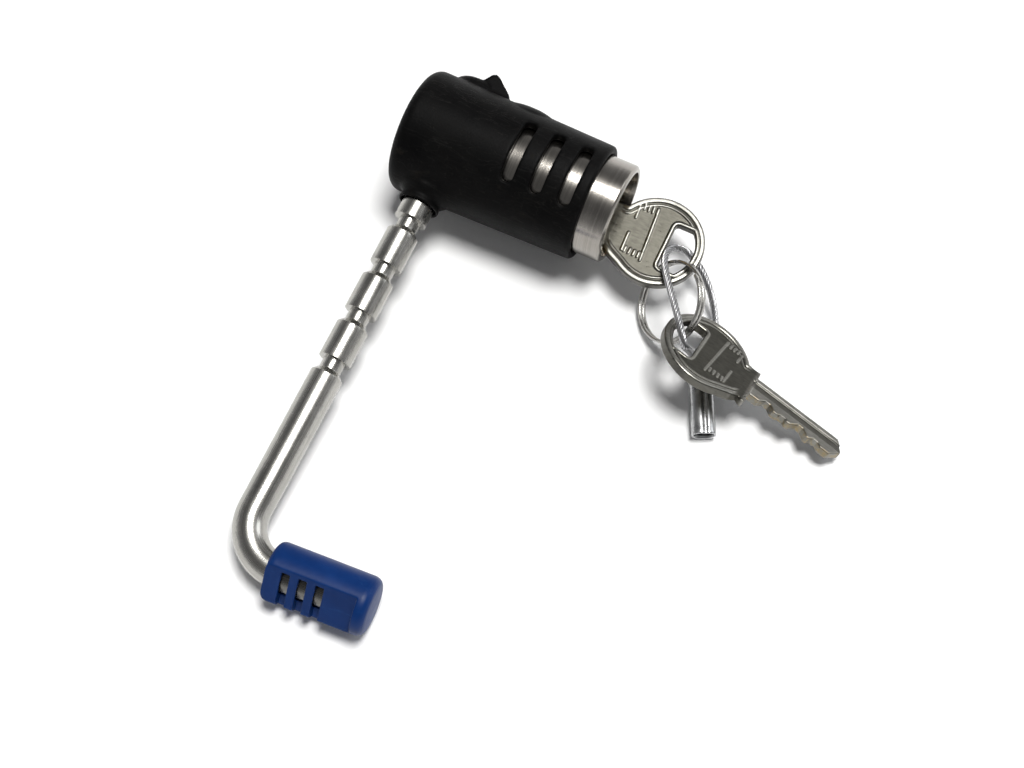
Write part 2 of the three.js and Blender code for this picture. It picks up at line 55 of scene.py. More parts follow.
# Turned shapes and rods are made along +X, and these stand them along the head's other axes.
TO_NEAR = Matrix.Rotation(-math.pi / 2, 4, "Z")
TO_FAR = Matrix.Rotation(math.pi / 2, 4, "Z")
TO_TOP = Matrix.Rotation(-math.pi / 2, 4, "Y")

# ---------------------------------------------------------------- camera
CAMERA = Sizes(lens=61.86, sensor=36, near=0.01, far=40,
               place=(0.041825, -0.114228, 0.306603),
               right=Vector((0.9023, 0.4309, 0.0096)),
               up=Vector((-0.4005, 0.8299, 0.3885)),
               forward=Vector((-0.1595, 0.3544, -0.9214)))


def link(obj):
    bpy.context.scene.collection.objects.link(obj)
    return obj


def build_camera():
    data = bpy.data.cameras.new("view_camera")
    data.lens = CAMERA.lens
    data.sensor_width = CAMERA.sensor
    data.clip_start = CAMERA.near
    data.clip_end = CAMERA.far
    made = link(bpy.data.objects.new("view_camera", data))
    turn = Matrix((CAMERA.right, CAMERA.up, -CAMERA.forward)).transposed()
    made.matrix_world = Matrix.Translation(CAMERA.place) @ turn.to_4x4()
    bpy.context.scene.camera = made


build_camera()


# ---------------------------------------------------------------- outline helpers
def arc(centre, radius, start, end, steps):
    """Points of a circular arc, both ends among them."""
    points = []
    for i in range(steps + 1):
        angle = start + (end - start) * i / steps
        points.append((centre[0] + radius * math.cos(angle), centre[1] + radius * math.sin(angle)))
    return points


def curve(start, control, end, steps):
    """Points of a quadratic curve after its start."""
    points = []
    for i in range(1, steps + 1):
        t = i / steps
        weights = (1 - t) ** 2, 2 * t * (1 - t), t * t
        points.append(tuple(sum(w * p for w, p in zip(weights, places))
                            for places in zip(start, control, end)))
    return points


def eased(profile, radius, steps=3):
    """Round the inner corners of a profile with small curves."""
    out = [profile[0]]
    for before, here, after in zip(profile, profile[1:], profile[2:]):
        corner, a, b = (np.array(point, float) for point in (here, before, after))
        to_a, to_b = np.linalg.norm(a - corner), np.linalg.norm(b - corner)
        reach = min(radius, 0.4 * to_a, 0.4 * to_b)
        start = (corner + (a - corner) / to_a * reach).tolist()
        end = (corner + (b - corner) / to_b * reach).tolist()
        out += [start, *curve(start, corner.tolist(), end, steps)]
    out.append(profile[-1])
    return out


def rectangle(x_low, y_low, x_high, y_high):
    return [(x_low, y_low), (x_high, y_low), (x_high, y_high), (x_low, y_high)]


# ---------------------------------------------------------------- mesh helpers
def mesh_object(verts, faces, name="draft"):
    mesh = bpy.data.meshes.new(name)
    mesh.from_pydata([tuple(float(x) for x in v) for v in verts], [], faces)
    mesh.validate()
    work = bmesh.new()
    work.from_mesh(mesh)
    bmesh.ops.recalc_face_normals(work, faces=work.faces)
    work.to_mesh(mesh)
    work.free()
    return link(bpy.data.objects.new(name, mesh))


def bake_modifiers(obj):
    """Replace an object's mesh with what its modifiers make of it."""
    graph = bpy.context.evaluated_depsgraph_get()
    mesh = bpy.data.meshes.new_from_object(obj.evaluated_get(graph))
    obj.modifiers.clear()
    old = obj.data
    obj.data = mesh
    bpy.data.meshes.remove(old)
    return obj


def boolean(obj, other, operation):
    """Join another solid to a solid, or cut it away, and use the other one up."""
    step = obj.modifiers.new("boolean", "BOOLEAN")
    step.operation = operation
    step.solver = "MANIFOLD"
    step.object = other
    bake_modifiers(obj)
    mesh = other.data
    bpy.data.objects.remove(other)
    bpy.data.meshes.remove(mesh)


def moulded(obj, voxel, passes):
    """Remesh at an even size and soften, so that every corner gets a small fillet."""
    step = obj.modifiers.new("remesh", "REMESH")
    step.mode = "VOXEL"
    step.voxel_size = voxel
    step = obj.modifiers.new("soften", "SMOOTH")
    step.factor = 0.5
    step.iterations = passes
    bake_modifiers(obj)


def turned(profile, sides):
    """A solid of revolution about +X from [distance along, radius] points."""
    verts, faces, rings = [], [], []
    for along, radius in profile:
        if radius < 1e-6:
            rings.append([len(verts)])
            verts.append((along, 0, 0))
            continue
        rings.append(list(range(len(verts), len(verts) + sides)))
        for k in range(sides):
            angle = 2 * math.pi * k / sides
            verts.append((along, radius * math.cos(angle), radius * math.sin(angle)))
    if len(rings[0]) > 1 and len(rings[-1]) > 1:
        rings.append(rings[0])
    for a, b in zip(rings, rings[1:]):
        for k in range(sides):
            n = (k + 1) % sides
            corners = [a[k % len(a)], a[n % len(a)], b[n % len(b)], b[k % len(b)]]
            face = list(dict.fromkeys(corners))
            if len(face) > 2:
                faces.append(face)
    return mesh_object(verts, faces)


def rod(radius, start, end, sides=64):
    return turned([(start, 0), (start, radius), (end, radius), (end, 0)], sides)


def prism(outline, low, high):
    """A closed outline in XY, from one height to another."""
    n = len(outline)
    verts = [(x, y, low) for x, y in outline] + [(x, y, high) for x, y in outline]
    faces = [[k, (k + 1) % n, n + (k + 1) % n, n + k] for k in range(n)]
    faces += [list(range(n))[::-1], list(range(n, 2 * n))]
    return mesh_object(verts, faces)


def loft(rings, closed=False):
    """Quads between rings of points. A closed loft joins its ends, and an open one is capped."""
    sides = len(rings[0])
    verts = [v for ring in rings for v in ring]
    faces = []
    count = len(rings)
    for i in range(count if closed else count - 1):
        j = (i + 1) % count
        for k in range(sides):
            n = (k + 1) % sides
            faces.append([i * sides + k, i * sides + n, j * sides + n, j * sides + k])
    if not closed:
        faces.append(list(range(sides))[::-1])
        faces.append(list(range((count - 1) * sides, count * sides)))
    return mesh_object(verts, faces)


def moved(obj, matrix):
    obj.data.transform(matrix)
    return obj


def set_flow(obj, values):
    """Coordinates that run along a bent piece, in metres, for its material."""
    attribute = obj.data.attributes.new("flow", "FLOAT_VECTOR", "POINT")
    attribute.data.foreach_set("vector", np.array(values, np.float32).ravel())


def place(obj, name, space, body, slot, nodes, material=None, sharp=None):
    """Put a finished piece in the row frame, on its body, with its finish."""
    obj.name = name
    obj.data.name = name
    obj.data.transform(space)
    if space.determinant() < 0:
        obj.data.flip_normals()
    obj.data.shade_smooth()
    if sharp is not None:
        obj.data.set_sharp_from_angle(angle=math.radians(sharp))
    obj.data.materials.clear()
    obj.data.materials.append(MATERIALS[material or slot])
    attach(obj, body)
    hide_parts(*nodes)
    return obj


# ---------------------------------------------------------------- material helpers
def feed(tree, socket, value):
    """Link a socket to another node's output, or set its value."""
    if isinstance(value, bpy.types.NodeSocket):
        tree.links.new(value, socket)
    else:
        socket.default_value = value


def add(tree, kind, settings=None, **sockets):
    """A node with its settings, and its sockets by name with _ for a space."""
    made = tree.nodes.new(kind)
    for key, value in (settings or {}).items():
        setattr(made, key, value)
    for key, value in sockets.items():
        feed(tree, made.inputs[key.replace("_", " ")], value)
    return made


def ramp(tree, factor, stops):
    """Colours or greys along a factor, as (position, value) stops."""
    made = add(tree, "ShaderNodeValToRGB", Fac=factor)
    points = made.color_ramp.elements
    while len(points) < len(stops):
        points.new(0.5)
    for point, (position, value) in zip(points, stops):
        point.position = position
        grey = isinstance(value, (int, float))
        point.color = (value, value, value, 1) if grey else (*value, 1)
    return made.outputs["Color"]


def hairlines(tree, field, half_width):
    """Thin lines where a noise field passes its middle."""
    low, high = 0.5 - half_width, 0.5 + half_width
    return ramp(tree, field, [(0.0, 0.0), (low, 0.0), (0.5, 1.0), (high, 0.0)])


def noise(tree, vector, scale, detail=4.0, roughness=0.55, stretch=(1, 1, 1), distortion=0.0):
    mapped = add(tree, "ShaderNodeMapping", Vector=vector, Scale=stretch)
    made = add(tree, "ShaderNodeTexNoise", Vector=mapped.outputs["Vector"], Scale=scale,
               Detail=detail, Roughness=roughness, Distortion=distortion)
    return made.outputs["Fac"]


def blend_colour(tree, factor, a, b, mode="MIX"):
    made = add(tree, "ShaderNodeMix", {"data_type": "RGBA", "blend_type": mode})
    factor_socket, a_socket, b_socket = made.inputs[0], made.inputs[6], made.inputs[7]
    feed(tree, factor_socket, factor)
    for socket, value in ((a_socket, a), (b_socket, b)):
        feed(tree, socket, (*value, 1) if isinstance(value, tuple) else value)
    return made.outputs[2]


def span(tree, value, low, high, from_low=0.0, from_high=1.0):
    made = add(tree, "ShaderNodeMapRange", Value=value, From_Min=from_low, From_Max=from_high,
               To_Min=low, To_Max=high)
    return made.outputs["Result"]


def maths(tree, operation, a, b):
    made = add(tree, "ShaderNodeMath", {"operation": operation})
    feed(tree, made.inputs[0], a)
    feed(tree, made.inputs[1], b)
    return made.outputs["Value"]


def times(tree, a, b):
    return maths(tree, "MULTIPLY", a, b)


def plus(tree, a, b):
    return maths(tree, "ADD", a, b)


def attribute_node(tree, name):
    return add(tree, "ShaderNodeAttribute", {"attribute_name": name})


def place_vector(tree):
    return add(tree, "ShaderNodeTexCoord").outputs["Object"]


def new_material(name):
    made = bpy.data.materials.new(name)
    made.use_nodes = True
    tree = made.node_tree
    tree.nodes.clear()
    return made, tree


def finish(tree, colour, roughness, height, bump, metallic=0.0, depth=0.0001, **fixed):
    """One Principled surface; uniform values go straight on its sockets."""
    bumped = add(tree, "ShaderNodeBump", Height=height, Strength=bump, Distance=depth)
    shader = add(tree, "ShaderNodeBsdfPrincipled", Base_Color=colour, Roughness=roughness,
                 Normal=bumped.outputs["Normal"], Metallic=metallic, **fixed)
    output = add(tree, "ShaderNodeOutputMaterial")
    tree.links.new(shader.outputs["BSDF"], output.inputs["Surface"])


# ---------------------------------------------------------------- materials
BRASS_IN_CUTS = (0.27, 0.21, 0.11)
# Painted shade: the pin's leg inside the end cap is darkened towards this colour to stand in for the shade
# in the cap's slots.
PAINTED_CAP_SHADE = (0.07, 0.068, 0.063)
CAP_SHADE_EDGE = 0.002


def worn_relief(tree, vector, colour, sunk):
    """A struck key: its sunk field is darker, and brass shows in its cuts."""
    raised = attribute_node(tree, "relief").outputs["Fac"]
    low = ramp(tree, raised, [(0.0, 1.0), (0.75, 0.0)])
    colour = blend_colour(tree, low, colour, sunk, "MULTIPLY")
    cut = attribute_node(tree, "bite").outputs["Fac"]
    rubbed = span(tree, noise(tree, vector, 800.0, 5.0, 0.7), 0.0, 0.9, 0.44, 0.64)
    return blend_colour(tree, times(tree, cut, rubbed), colour, BRASS_IN_CUTS)


def brushed_metal(name, dark, light, rough, lines, flow=False, bump=0.25, grime=0.0, sunk=None,
                  painted_shade_past=None):
    """Metal with fine lines across one direction, cloudy tarnish and a few scratches, and optional painted
    shade past a point along its flow.
    """
    made, tree = new_material(name)
    vector = attribute_node(tree, "flow").outputs["Vector"] if flow else place_vector(tree)
    fine = noise(tree, vector, 1.0, 2.0, 0.5, lines)
    cloud = noise(tree, vector, 160.0, 5.0, 0.6)
    scratch_field = noise(tree, vector, 900.0, 2.0, 0.5, (0.12, 1.0, 0.25), 1.6)
    scratch = hairlines(tree, scratch_field, 0.015)
    tone = plus(tree, times(tree, fine, 0.55), times(tree, cloud, 0.45))
    colour = ramp(tree, tone, [(0.3, dark), (0.66, light)])
    if grime:
        spots = ramp(tree, noise(tree, vector, 420.0, 6.0, 0.7), [(0.56, 0.0), (0.72, grime)])
        colour = blend_colour(tree, spots, colour, tuple(0.35 * c for c in dark))
    if sunk:
        colour = worn_relief(tree, vector, colour, sunk)
    # Painted shade: past this distance along the flow, inside the end cap, the colour fades into a dark
    # shade colour.
    if painted_shade_past:
        along = add(tree, "ShaderNodeSeparateXYZ", Vector=vector).outputs["Z"]
        painted_shade = span(tree, along, 0.0, 0.8, painted_shade_past, painted_shade_past + CAP_SHADE_EDGE)
        colour = blend_colour(tree, painted_shade, colour, PAINTED_CAP_SHADE)
    roughness = span(tree, tone, rough[0], rough[1], 0.3, 0.7)
    height = plus(tree, fine, times(tree, scratch, -0.15))
    finish(tree, colour, roughness, height, bump, metallic=1.0, depth=0.00006)
    return made


def rubber_material():
    """Black rubber with a fine grain, dusty rubbed patches and thin nicks."""
    made, tree = new_material("satin_rubber")
    vector = place_vector(tree)
    grain = noise(tree, vector, 2600.0, 4.0, 0.65)
    cloud = noise(tree, vector, 120.0, 6.0, 0.62)
    rub_field = noise(tree, vector, 260.0, 7.0, 0.72, (0.5, 1.0, 1.0), 0.8)
    rub = ramp(tree, rub_field, [(0.6, 0.0), (0.72, 1.0)])
    nick_field = noise(tree, vector, 700.0, 2.0, 0.5, (0.2, 1.0, 0.6), 1.2)
    nick = hairlines(tree, nick_field, 0.01)
    base = ramp(tree, cloud, [(0.3, (0.0016, 0.0016, 0.0018)), (0.7, (0.004, 0.0039, 0.0038))])
    colour = blend_colour(tree, times(tree, rub, 0.55), base, (0.013, 0.0112, 0.0088))
    colour = blend_colour(tree, times(tree, nick, 0.2), colour, (0.03, 0.028, 0.025))
    dullness = plus(tree, cloud, times(tree, rub, 0.4))
    roughness = span(tree, dullness, 0.42, 0.66, 0.3, 1.1)
    height = plus(tree, grain, times(tree, nick, -0.6))
    finish(tree, colour, roughness, height, 0.32, depth=0.00012, Specular_IOR_Level=0.05)
    return made


def plastic_material():
    """Blue plastic with a fine grain and a few lighter scuffs."""
    made, tree = new_material("blue_plastic")
    vector = place_vector(tree)
    grain = noise(tree, vector, 1900.0, 4.0, 0.6)
    cloud = noise(tree, vector, 210.0, 5.0, 0.6)
    scuff_field = noise(tree, vector, 520.0, 5.0, 0.7, (0.35, 1.0, 1.0), 1.1)
    scuff = ramp(tree, scuff_field, [(0.6, 0.0), (0.7, 1.0)])
    base = ramp(tree, cloud, [(0.3, (0.0008, 0.0185, 0.098)), (0.7, (0.0014, 0.0255, 0.128))])
    colour = blend_colour(tree, times(tree, scuff, 0.3), base, (0.012, 0.055, 0.19))
    dullness = plus(tree, cloud, times(tree, scuff, 0.3))
    roughness = span(tree, dullness, 0.34, 0.55, 0.3, 1.0)
    finish(tree, colour, roughness, grain, 0.22, Specular_IOR_Level=0.16)
    return made


def seal_material():
    made, tree = new_material("seal_rubber")
    vector = place_vector(tree)
    grain = noise(tree, vector, 3000.0, 4.0, 0.6)
    cloud = noise(tree, vector, 300.0, 4.0, 0.6)
    colour = ramp(tree, cloud, [(0.3, (0.004, 0.004, 0.004)), (0.7, (0.012, 0.012, 0.012))])
    finish(tree, colour, span(tree, cloud, 0.55, 0.8), grain, 0.3)
    return made


def paper_material():
    made, tree = new_material("pale_paper")
    vector = place_vector(tree)
    cloud = noise(tree, vector, 30.0, 3.0, 0.5)
    grain = noise(tree, vector, 2500.0, 3.0, 0.6)
    colour = ramp(tree, cloud, [(0.3, (0.90, 0.90, 0.905)), (0.7, (0.93, 0.93, 0.93))])
    finish(tree, colour, span(tree, cloud, 0.8, 0.95), grain, 0.05, Specular_IOR_Level=0.1)
    return made


MATERIALS = {
    "rubber": rubber_material(),
    "seal": seal_material(),
    "blue_plastic": plastic_material(),
    "steel": brushed_metal(
        "turned_steel", dark=(0.25, 0.234, 0.214), light=(0.37, 0.35, 0.32), rough=(0.17, 0.26),
        lines=(5200, 25, 25), bump=0.035),
    # The pin's last argument darkens its leg inside the end cap with painted shade.
    "pin_steel": brushed_metal(
        "drawn_steel", dark=(0.33, 0.325, 0.30), light=(0.47, 0.46, 0.435), rough=(0.22, 0.31),
        lines=(3800, 3800, 45), flow=True, bump=0.025, grime=0.35, painted_shade_past=0.0925),
    "brass": brushed_metal(
        "turned_brass", dark=(0.44, 0.30, 0.11), light=(0.72, 0.54, 0.24), rough=(0.24, 0.4),
        lines=(1800, 60, 60)),
    "key_nickel": brushed_metal(
        "worn_nickel", dark=(0.17, 0.166, 0.148), light=(0.28, 0.274, 0.25), rough=(0.26, 0.38),
        lines=(700, 2500, 700), bump=0.09, grime=0.35, sunk=(0.29, 0.285, 0.265)),
    "spring": brushed_metal(
        "spring_steel", dark=(0.30, 0.295, 0.28), light=(0.50, 0.49, 0.465), rough=(0.22, 0.34),
        lines=(400, 400, 400), bump=0.05),
    "cable_steel": brushed_metal(
        "galvanised_wire", dark=(0.30, 0.30, 0.305), light=(0.52, 0.52, 0.53), rough=(0.3, 0.42),
        lines=(5000, 5000, 500), flow=True, bump=0.12, grime=0.3),
    "aluminium": brushed_metal(
        "crimped_aluminium", dark=(0.40, 0.405, 0.41), light=(0.62, 0.625, 0.63), rough=(0.24, 0.36),
        lines=(700, 700, 700), bump=0.12, grime=0.4),
}

# ---------------------------------------------------------------- the wire cable
CABLE_ROUTE = [
    (61.8, -21.4, 1.95), (60.9, -19.6, 1.95), (60.1, -18.2, 2.3), (58.9, -17.3, 3.7), (58.1, -17.3, 5.6),
    (57.6, -17.9, 7.6), (57.1, -18.4, 9.3), (56.1, -17.4, 10.8), (54.2, -14.9, 11.5), (52.1, -12.2, 11.6),
    (50.0, -9.4, 11.4), (48.0, -6.6, 11.1), (46.8, -4.2, 10.7), (46.5, -1.6, 9.6), (47.4, 0.5, 8.0),
    (49.3, 1.2, 6.8), (51.4, 0.5, 6.2), (53.9, -1.1, 5.6), (56.5, -3.4, 4.4), (58.7, -6.0, 2.6),
    (60.2, -8.7, 1.3), (61.1, -11.6, 0.85), (61.8, -14.4, 0.95), (62.2, -16.8, 1.5), (62.4, -18.9, 1.95),
    (63.2, -20.7, 1.95),
]
CABLE_RADIUS = 0.7
CABLE = Sizes(lay=5.2, step=0.2, strands=6, points_per_strand=8)


def smooth_route(points, per_span=24):
    """The centripetal Catmull-Rom curve that the CAD cable follows."""
    p = np.array(points, float)
    p = np.vstack([2 * p[0] - p[1], p, 2 * p[-1] - p[-2]])
    out = []
    for i in range(1, len(p) - 2):
        a, b, c, d = p[i - 1:i + 3]
        t0, t1, t2 = (max(np.linalg.norm(v), 1e-8) ** 0.5 for v in (b - a, c - b, d - c))
        start = ((b - a) / t0 - (c - a) / (t0 + t1) + (c - b) / t1) * t1
        end = ((c - b) / t1 - (d - b) / (t1 + t2) + (d - c) / t2) * t1
        for k in range(per_span):
            t = k / per_span
            out.append(b + start * t + (-3 * b + 3 * c - 2 * start - end) * t ** 2
                       + (2 * b - 2 * c + start + end) * t ** 3)
    out.append(p[-2])
    return np.array(out)


def resampled(points, step):
    """Even points along a path, and how far along it each one is."""
    along = np.concatenate([[0], np.cumsum(np.linalg.norm(np.diff(points, axis=0), axis=1))])
    count = int(round(along[-1] / step)) + 1
    places = np.linspace(0, along[-1], count)
    return np.stack([np.interp(places, along, points[:, k]) for k in range(3)], axis=1), places


def carried_frames(points):
    """Two directions square to a path, carried along it without twist."""
    tangents = np.gradient(points, axis=0)
    tangents /= np.linalg.norm(tangents, axis=1)[:, None]
    side = np.cross(tangents[0], (0.0, 0.0, 1.0))
    sides = []
    for t in tangents:
        side = side - t * np.dot(side, t)
        side /= np.linalg.norm(side)
        sides.append(side.copy())
    sides = np.array(sides)
    return sides, np.cross(tangents, sides)


def strand_radius(share):
    """The rope's radius across one strand; share runs from -0.5 to 0.5."""
    phi = share * 2 * math.pi / CABLE.strands * 0.98
    third = CABLE_RADIUS / 3
    inner = max(third ** 2 - (2 * third * math.sin(phi)) ** 2, 0)
    return max(2 * third * math.cos(phi) + math.sqrt(inner), 0.7 * CABLE_RADIUS)


def build_cable():
    """Six strands laid together, as one tube with a lobed, twisting section."""
    points, places = resampled(smooth_route(CABLE_ROUTE), CABLE.step)
    sides, lifts = carried_frames(points)
    around = CABLE.strands * CABLE.points_per_strand
    rings, flow = [], []
    for point, side, lift, s in zip(points, sides, lifts, places):
        ring = []
        twist = 2 * math.pi * s / CABLE.lay
        for k in range(around):
            radius = strand_radius((k % CABLE.points_per_strand) / CABLE.points_per_strand - 0.5)
            angle = 2 * math.pi * (k + 0.5) / around + twist
            ring.append(point + radius * (math.cos(angle) * side + math.sin(angle) * lift))
            local = 2 * math.pi * k / around
            flow.append((MM * math.cos(local), MM * math.sin(local), MM * s))
        rings.append(ring)
    made = loft(rings)
    set_flow(made, flow)
    place(made, "wire_cable_strands", LOOSE, "inserted_key", "cable_steel", ["wire_cable"], sharp=60)
    path = [LOOSE @ Vector(p) for p in points[::2]]
    if (len(points) - 1) % 2:
        path.append(LOOSE @ Vector(points[-1]))
    length = sum((b - a).length for a, b in zip(path, path[1:]))
    return made, path, length


# ---------------------------------------------------------------- the cable's ferrule
FERRULE = Sizes(top=Vector((61.6, -19.3, 1.95)), along=Vector((0.44, -0.898, 0)).normalized(),
                length=12.2, wide=2.3, tall=1.7, wall=0.45, sides=64,
                crease=0.5, crease_side=0.25, crease_width=0.42, dent=0.12, dent_width=1.1)


def ferrule_ring(s, inset):
    """One section, s mm from the cable: a squarish oval with a crease on top and a dent below."""
    up = Vector((0, 0, 1))
    across = up.cross(FERRULE.along)
    crease = FERRULE.crease * (1 - 0.55 * s / FERRULE.length)
    points = []
    for k in range(FERRULE.sides):
        angle = 2 * math.pi * k / FERRULE.sides
        c, r = math.cos(angle), math.sin(angle)
        x = (FERRULE.wide - inset) * math.copysign(abs(c) ** 0.86, c)
        y = (FERRULE.tall - inset) * math.copysign(abs(r) ** 0.80, r)
        if r > 0:
            y -= crease * math.exp(-((x - FERRULE.crease_side) / FERRULE.crease_width) ** 2)
        else:
            y += FERRULE.dent * math.exp(-(x / FERRULE.dent_width) ** 2)
        points.append(tuple(FERRULE.top + x * across + y * up + s * FERRULE.along))
    return points


def build_ferrule():
    """An oval tube pressed on the cable's two ends, creased along its top."""
    full, wall = FERRULE.length, FERRULE.wall
    ease = [(0.0, 0.16), (0.05, 0.06), (0.16, 0.0)]
    lip = [(0.0, wall - 0.13), (0.08, wall - 0.03)]
    sections = ease + [(full * t, 0.0) for t in np.linspace(0.05, 0.95, 22).tolist()]
    sections += [(full - s, inset) for s, inset in reversed(ease)]
    sections += [(full - s, inset) for s, inset in lip]
    sections += [(full * t, wall) for t in np.linspace(0.95, 0.05, 12).tolist()]
    sections += reversed(lip)
    made = loft([ferrule_ring(s, inset) for s, inset in sections], closed=True)
    return place(made, "cable_ferrule_tube", LOOSE, "inserted_key", "aluminium", ["cable_ferrule"],
                 sharp=50)


cable, cable_path, cable_length = build_cable()
ferrule = build_ferrule()

# ---------------------------------------------------------------- the rubber sleeve
SLEEVE = Sizes(closed_end=-8.7, crown=0.15, shoulder=-8.2, corner=2.2, mouth=30.1, mouth_radius=11.5,
               bore=10.1, inner_end=-5.6, pin_bore=3.55, boss_root=10.7, crest_half=4.4,
               voxel=0.29, soften=4)
SLOT = Sizes(first=14.8, pitch=5.8, count=3, width=2.45, outside=13.4, floor=9.9,
             half_angle=math.radians(33.5), roll=math.radians(2.5))
PAD = Sizes(place=(12.2, 0, 11.1), half_size=(5, 3, 1.25), turn=math.radians(-62))


def sleeve_outline():
    centre = (SLEEVE.shoulder + SLEEVE.corner, SLEEVE_RADIUS - SLEEVE.corner)
    corner = arc(centre, SLEEVE.corner, math.pi, math.pi / 2, 10)
    return [(SLEEVE.closed_end, 0), (SLEEVE.closed_end + SLEEVE.crown, SLEEVE_RADIUS / 2), *corner,
            (SLEEVE.mouth - 0.5, SLEEVE.mouth_radius), (SLEEVE.mouth, SLEEVE.mouth_radius - 0.4),
            (SLEEVE.mouth, SLEEVE.bore), (SLEEVE.inner_end, SLEEVE.bore), (SLEEVE.inner_end, 0)]


def sleeve_slot(x):
    """A round-ended slot part of the way round the sleeve, cut down to the barrel."""
    half_width = SLOT.width / 2
    half = SLOT.half_angle - half_width / SLEEVE_RADIUS
    outline = arc((0, 0), SLOT.outside, -half, half, 26) + arc((0, 0), SLOT.floor, half, -half, 26)
    cut = moved(prism(outline, -half_width, half_width), TO_TOP)
    for side in (-1, 1):
        end = rod(half_width, SLOT.floor, SLOT.outside, 36)
        boolean(cut, moved(end, TO_TOP @ Matrix.Rotation(side * half, 4, "Z")), "UNION")
    return moved(cut, Matrix.Translation((x, 0, 0)) @ Matrix.Rotation(SLOT.roll, 4, "X"))


def near_boss():
    """A collar with a waist and a rolled lip where the pin goes in."""
    root = SLEEVE.boss_root
    profile = [(root, 0), (root, 5.4), (11.9, 5.2), (12.4, 4.75), (12.7, 4.4), (13.05, 4.05),
               (13.4, 3.95), (13.8, 4.02), (14.1, 4.15), (14.4, 4.15), (14.6, 3.9), (14.6, 0)]
    return moved(turned(profile, 72), TO_NEAR)


def far_boss():
    """A low, rounded collar where the pin comes out."""
    root = SLEEVE.boss_root
    profile = [(root, 0), (root, 5.6), (11.8, 5.4), (12.6, 4.9), (13, 4.3), (13.1, 3.7), (13.1, 0)]
    return moved(turned(profile, 72), TO_FAR)


def far_crest():
    """The peak on the far boss's key side."""
    root, peak = SLEEVE.boss_root, (3.8, 14.5)
    outline = [(0.7, root), (6.8, root), (6.8, 12), peak, *curve(peak, (2.6, 15.6), (1.8, 14.7), 8),
               (0.7, 13)]
    return prism(outline, -SLEEVE.crest_half, SLEEVE.crest_half)


def oval_pad():
    """The blank pad in the place of the real sleeve's raised marks."""
    pad = turned(arc((0, 0), 1, math.pi, 0, 24), 48)
    return moved(pad, Matrix.Rotation(PAD.turn, 4, "X") @ Matrix.Translation(PAD.place)
                 @ Matrix.Diagonal((*PAD.half_size, 1)))


def build_sleeve():
    body = turned(sleeve_outline(), 160)
    for part in (near_boss(), far_boss(), far_crest(), oval_pad()):
        boolean(body, part, "UNION")
    boolean(body, moved(rod(SLEEVE.pin_bore, -20, 20), TO_FAR), "DIFFERENCE")
    for i in range(SLOT.count):
        boolean(body, sleeve_slot(SLOT.first + SLOT.pitch * i), "DIFFERENCE")
    moulded(body, SLEEVE.voxel, SLEEVE.soften)
    place(body, "rubber_sleeve_moulding", HEAD, "head", "rubber", ["rubber_sleeve"])


# ---------------------------------------------------------------- the steel barrel
BARREL = Sizes(radius=9.8, closed_end=-5.3, mouth=35.6, bore=8.6, bore_end=12.2, edge=0.12,
               pin_bore=3.45, seal_seat=5.0, seal_seat_from=6.7)


def build_barrel():
    radius, mouth, closed_end = BARREL.radius, BARREL.mouth, BARREL.closed_end
    profile = [(BARREL.bore_end, 0), (BARREL.bore_end, BARREL.bore), (mouth, BARREL.bore),
               (mouth, radius - 0.5), (mouth - 0.5, radius), (closed_end + 0.8, radius),
               (closed_end, radius - 0.8), (closed_end, 0)]
    body = turned(eased(profile, BARREL.edge), 192)
    pin_hole = moved(rod(BARREL.pin_bore, -20, 20, 72), TO_FAR)
    seats = [moved(rod(BARREL.seal_seat, BARREL.seal_seat_from, 11, 72), turn)
             for turn in (TO_NEAR, TO_FAR)]
    bolt_room = moved(rod(4.5, 3.5, 13.2, 64), Matrix.Translation((0, -0.9, -3.4)))
    tongue_room = prism(rectangle(0, 0.65, 6.3, 3.05), -4.8, 3.3)
    retainer = moved(rod(1.25, -11, -7, 32), Matrix.Translation((30.6, 0, 0)) @ TO_TOP)
    for cut in (pin_hole, *seats, bolt_room, tongue_room, retainer):
        boolean(body, cut, "DIFFERENCE")
    place(body, "steel_barrel", HEAD, "head", "steel", ["lock_body"], sharp=28)


# ---------------------------------------------------------------- the locking pin
PIN = Sizes(radius=3.175, neck=2.1, tip=-12.5, tip_chamfer=1, first_groove=-2.9, pitch=10.4,
            grooves=6, flat=2.1, leg=15.9, end_chamfer=0.4, edge=0.09, sides=96, ring_gap=0.9)
CENTRE_RING = 0.02  # the ends close on a ring this small, which loft caps
BEND_RADIUS = 8.5
BEND = math.radians(94)
BEND_START = PIN_REACH - BEND_RADIUS
BEND_CENTRE = Vector((BEND_RADIUS, -BEND_START, 0))
LEG = Vector((math.sin(BEND), -math.cos(BEND), 0))


def on_bend(angle):
    return BEND_CENTRE - BEND_RADIUS * Vector((math.cos(angle), math.sin(angle), 0))


LEG_START = on_bend(BEND)


def bar_place(s):
    """The pin's centre line and the direction along it, s mm past the barrel's axis."""
    if s <= BEND_START:
        return Vector((0, -s, 0)), Vector((0, -1, 0))
    angle = (s - BEND_START) / BEND_RADIUS
    if angle < BEND:
        return on_bend(angle), Vector((math.sin(angle), -math.cos(angle), 0))
    return LEG_START + LEG * (s - BEND_START - BEND_RADIUS * BEND), LEG


def pin_profile():
    """[Distance along, radius] points: chamfered ends, and grooves with one square and one sloped side."""
    radius, neck = PIN.radius, PIN.neck
    profile = [(PIN.tip, CENTRE_RING), (PIN.tip, radius - PIN.tip_chamfer),
               (PIN.tip + PIN.tip_chamfer, radius)]
    for i in range(PIN.grooves):
        s = PIN.first_groove + PIN.pitch * i
        floor_end = s + PIN.flat
        profile += [(s, radius), (s + 0.02, neck), (floor_end, neck), (floor_end + radius - neck, radius)]
    end = BEND_START + BEND_RADIUS * BEND + PIN.leg
    return profile + [(end - PIN.end_chamfer, radius), (end, radius - PIN.end_chamfer), (end, CENTRE_RING)]


